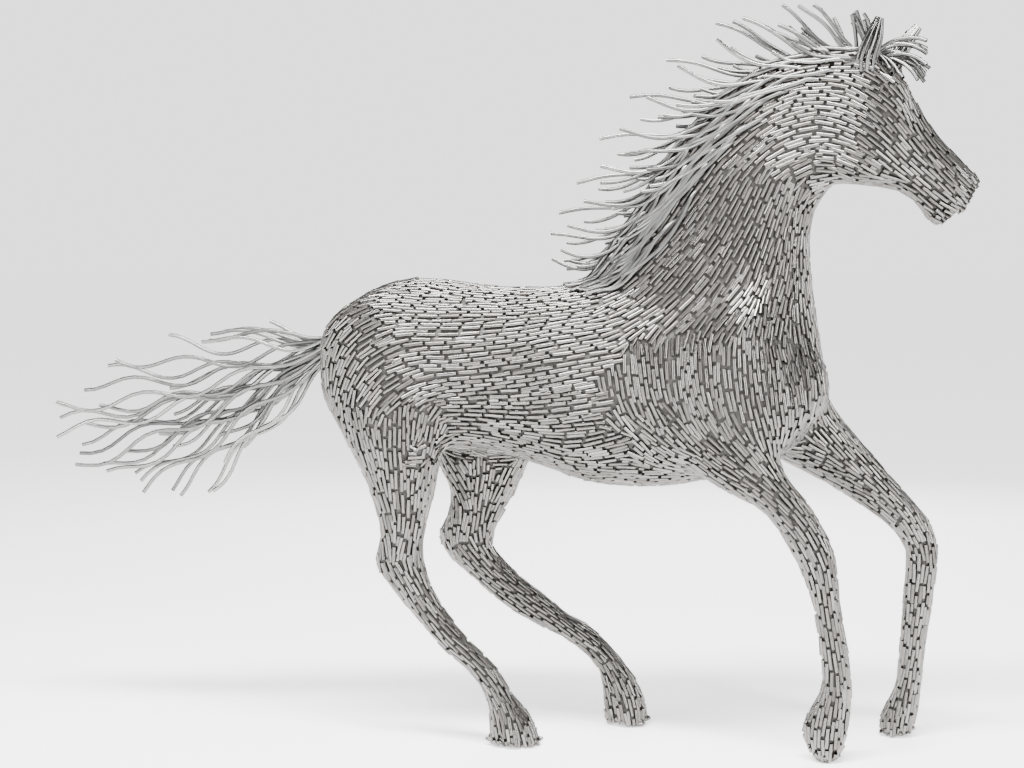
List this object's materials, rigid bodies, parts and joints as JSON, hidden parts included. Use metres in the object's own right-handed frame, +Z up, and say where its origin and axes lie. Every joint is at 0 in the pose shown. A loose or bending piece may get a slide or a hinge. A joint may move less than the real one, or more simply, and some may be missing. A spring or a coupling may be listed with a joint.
{
  "type": "scrap metal horse sculpture",
  "caption": "Life-like horse at full gallop, welded from short offcuts of bright steel tube, with a mane, forelock and tail of longer bent tubes.",
  "frame": {"origin": "on the ground under the middle of the whole sculpture's box, from the tail's tips to the muzzle", "axes": "+X from tail to muzzle, +Z up, the horse's right flank faces -Y"},
  "size_m": [2.2634, 0.4272, 1.7349],
  "materials": {
    "tube_skin": "short offcuts of bright steel tube laid side by side in rows, with dark gaps at their ends",
    "bent_tube": "longer bent lengths of the same tube, satin grey, cut square at the tips"
  },
  "bodies": {
    "root": {"horse_body": "tube_skin", "tail_strand_01": "bent_tube", "tail_strand_02": "bent_tube", "tail_strand_03": "bent_tube", "tail_strand_04": "bent_tube", "tail_strand_05": "bent_tube", "tail_strand_06": "bent_tube", "tail_strand_07": "bent_tube", "tail_strand_08": "bent_tube", "tail_strand_09": "bent_tube", "tail_strand_10": "bent_tube", "tail_strand_11": "bent_tube", "tail_strand_12": "bent_tube", "tail_strand_13": "bent_tube", "tail_strand_14": "bent_tube", "tail_strand_15": "bent_tube", "tail_strand_16": "bent_tube", "tail_strand_17": "bent_tube", "tail_strand_18": "bent_tube", "tail_strand_19": "bent_tube", "tail_strand_20": "bent_tube", "mane_strand_01": "bent_tube", "mane_strand_02": "bent_tube", "mane_strand_03": "bent_tube", "mane_strand_04": "bent_tube", "mane_strand_05": "bent_tube", "mane_strand_06": "bent_tube", "mane_strand_07": "bent_tube", "mane_strand_08": "bent_tube", "mane_strand_09": "bent_tube", "mane_strand_10": "bent_tube", "mane_strand_11": "bent_tube", "mane_strand_12": "bent_tube", "mane_strand_13": "bent_tube", "mane_strand_14": "bent_tube", "mane_strand_15": "bent_tube", "mane_strand_16": "bent_tube", "mane_strand_17": "bent_tube", "mane_strand_18": "bent_tube", "mane_strand_19": "bent_tube", "mane_strand_20": "bent_tube", "mane_strand_21": "bent_tube", "mane_strand_22": "bent_tube", "mane_strand_23": "bent_tube", "mane_strand_24": "bent_tube", "mane_strand_25": "bent_tube", "mane_strand_26": "bent_tube", "forelock_strand_01": "bent_tube", "forelock_strand_02": "bent_tube", "forelock_strand_03": "bent_tube", "forelock_strand_04": "bent_tube", "forelock_strand_05": "bent_tube", "forelock_strand_06": "bent_tube", "forelock_strand_07": "bent_tube", "forelock_strand_08": "bent_tube"}
  },
  "joints": []
}
